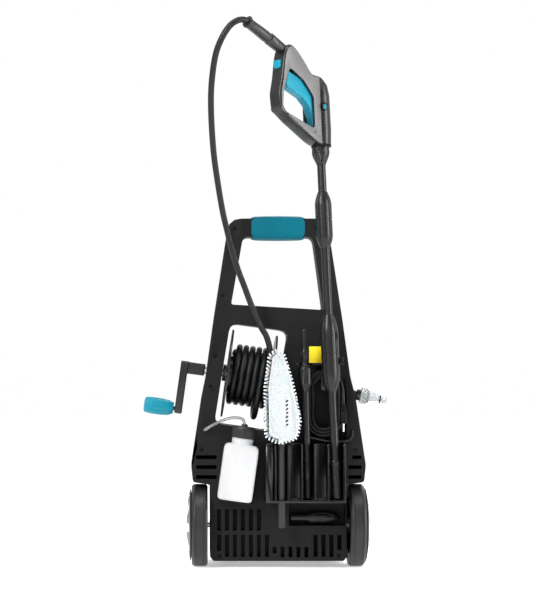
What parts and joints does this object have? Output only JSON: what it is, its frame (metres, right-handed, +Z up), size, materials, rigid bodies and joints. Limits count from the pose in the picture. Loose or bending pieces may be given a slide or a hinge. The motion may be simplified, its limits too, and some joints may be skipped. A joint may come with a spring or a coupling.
{
  "type": "pressure washer",
  "caption": "Upright wheeled pressure washer with a hose reel and crank, stored spray gun and lances, wash brush, detergent bottle and accessory tray.",
  "frame": {"origin": "middle of the base, on the floor, under the object without its cords", "axes": "+Z up, +X to the right seen from the user's side, the user's side faces -Y"},
  "size_m": [0.5752, 0.4678, 1.2468],
  "materials": {
    "housing_plastic": "matte black, fine grain",
    "cover_plastic": "matte black, fine grain",
    "grip_rubber": "soft teal",
    "foot_rubber": "matte",
    "cast_metal": "cast",
    "switch_plastic": "satin",
    "teal_plastic": "satin teal",
    "steel": "turned",
    "tyre_plastic": "smooth satin",
    "wheel_plastic": "satin",
    "reel_plastic": "satin",
    "hose_rubber": "smooth satin",
    "lance_plastic": "satin",
    "gun_plastic": "satin",
    "gun_panel": "satin grey",
    "tray_plastic": "gloss black",
    "brush_plastic": "satin",
    "bristle": "soft white bristle",
    "bottle_plastic": "translucent white",
    "cap_plastic": "ribbed",
    "clear_tube": "clear",
    "inlet_plastic": "gloss",
    "clear_plastic": "clear",
    "cable_rubber": "satin"
  },
  "bodies": {
    "root": {"rear_frame": "housing_plastic", "front_frame": "housing_plastic", "motor_cover": "cover_plastic", "handle_grip": "grip_rubber", "foot_left": "foot_rubber", "foot_right": "foot_rubber", "motor": "cast_metal", "pump": "cast_metal", "switch_box": "switch_plastic", "wheel_axle": "steel", "reel_bearing": "reel_plastic", "accessory_tray": "tray_plastic", "lance_clip": "tray_plastic", "suction_tube": "clear_tube", "inlet_collar": "inlet_plastic", "inlet_filter_bowl": "clear_plastic", "cable_hook_bottom": "tray_plastic", "cable_coil": "cable_rubber", "cable_gland": "cable_rubber", "cable_lead": "cable_rubber", "mains_plug": "cable_rubber"},
    "wheel_left": {"wheel_left": "wheel_plastic", "tyre_left": "tyre_plastic", "wheel_cap_left": "wheel_plastic"},
    "wheel_right": {"wheel_right": "wheel_plastic", "tyre_right": "tyre_plastic", "wheel_cap_right": "wheel_plastic"},
    "reel": {"reel_axle": "steel", "reel_drum": "reel_plastic", "reel_flange_left": "reel_plastic", "reel_flange_right": "reel_plastic", "hose_coil": "hose_rubber", "crank_arm": "reel_plastic", "crank_spindle": "reel_plastic"},
    "crank_knob": {"crank_knob": "teal_plastic"},
    "lance": {"lance_tube_lower": "lance_plastic", "lance_tube_middle": "lance_plastic", "lance_tube_upper": "lance_plastic", "lance_coupling": "lance_plastic", "lance_collar": "lance_plastic", "gun_coupling": "lance_plastic", "gun_shell_left": "gun_plastic", "gun_shell_right": "gun_plastic", "gun_side_panel": "gun_panel", "hose_connector": "gun_plastic", "hose_free": "hose_rubber"},
    "nozzle": {"lance_nozzle": "lance_plastic"},
    "trigger": {"gun_trigger": "teal_plastic"},
    "safety_button": {"gun_safety_button": "teal_plastic"},
    "release_button": {"hose_release_button": "teal_plastic"},
    "spare_lance": {"spare_lance": "lance_plastic", "spare_nozzle": "lance_plastic"},
    "brush": {"brush_back": "brush_plastic", "brush_bristles": "bristle"},
    "bottle": {"detergent_bottle": "bottle_plastic", "bottle_cap": "cap_plastic"},
    "accessory_nozzle": {"accessory_nozzle": "lance_plastic"},
    "switch": {"switch_knob": "teal_plastic"},
    "inlet_nut": {"inlet_nut": "clear_plastic"},
    "cable_hook": {"cable_hook_top": "tray_plastic"}
  },
  "joints": [
    {"name": "wheel_left_spin", "type": "hinge", "parent": "root", "child": "wheel_left", "pos_m": [-0.15394, 0.03065, 0.0965], "axis": [1, 0, 0], "continuous": true},
    {"name": "wheel_right_spin", "type": "hinge", "parent": "root", "child": "wheel_right", "pos_m": [0.21406, 0.03065, 0.0965], "axis": [1, 0, 0], "continuous": true},
    {"name": "reel_turn", "type": "hinge", "parent": "root", "child": "reel", "pos_m": [-0.03694, 0.04765, 0.447], "axis": [0.9903, 0, -0.1392], "continuous": true},
    {"name": "crank_knob_spin", "type": "hinge", "parent": "reel", "child": "crank_knob", "pos_m": [-0.24891, 0.04765, 0.37581], "axis": [0.9903, 0, -0.1392], "continuous": true},
    {"name": "lance_lift", "type": "slide", "parent": "root", "child": "lance", "axis": [-0.0473, 0, 0.9989], "range_m": [0, 0.12]},
    {"name": "nozzle_twist", "type": "hinge", "parent": "lance", "child": "nozzle", "pos_m": [0.16367, -0.04935, 0.1657], "axis": [-0.0473, 0, 0.9989], "range_deg": [0, 90]},
    {"name": "trigger_pull", "type": "hinge", "parent": "lance", "child": "trigger", "pos_m": [0.10584, -0.06734, 1.01992], "axis": [-0.7185, 0.6947, -0.034], "range_deg": [0, 8], "stiffness_Nm_per_rad": 0.6, "springref_deg": -11.46},
    {"name": "safety_slide", "type": "slide", "parent": "lance", "child": "safety_button", "axis": [-0.7185, 0.6947, -0.034], "range_m": [0, 0.005]},
    {"name": "release_press", "type": "slide", "parent": "lance", "child": "release_button", "axis": [0.6939, 0.7193, 0.0328], "range_m": [0, 0.004], "stiffness_N_per_m": 150, "springref_m": -0.002},
    {"name": "spare_lance_lift", "type": "slide", "parent": "root", "child": "spare_lance", "axis": [-0.0229, 0, 0.9997], "range_m": [0, 0.12]},
    {"name": "brush_lift", "type": "slide", "parent": "root", "child": "brush", "axis": [0, 0, 1], "range_m": [0, 0.1]},
    {"name": "bottle_pull", "type": "slide", "parent": "root", "child": "bottle", "axis": [0, -1, 0], "range_m": [0, 0.06]},
    {"name": "accessory_nozzle_pull", "type": "slide", "parent": "root", "child": "accessory_nozzle", "axis": [0, -1, 0], "range_m": [0, 0.05]},
    {"name": "switch_turn", "type": "hinge", "parent": "root", "child": "switch", "pos_m": [0.12506, 0.11465, 0.44], "axis": [0, 1, 0], "range_deg": [0, 90]},
    {"name": "inlet_nut_spin", "type": "hinge", "parent": "root", "child": "inlet_nut", "pos_m": [0.23154, 0.02265, 0.40101], "axis": [0.9781, 0, -0.2079], "continuous": true},
    {"name": "cable_hook_turn", "type": "hinge", "parent": "root", "child": "cable_hook", "pos_m": [0.14206, -0.01735, 0.428], "axis": [0, 1, 0], "range_deg": [-175, 0]}
  ]
}
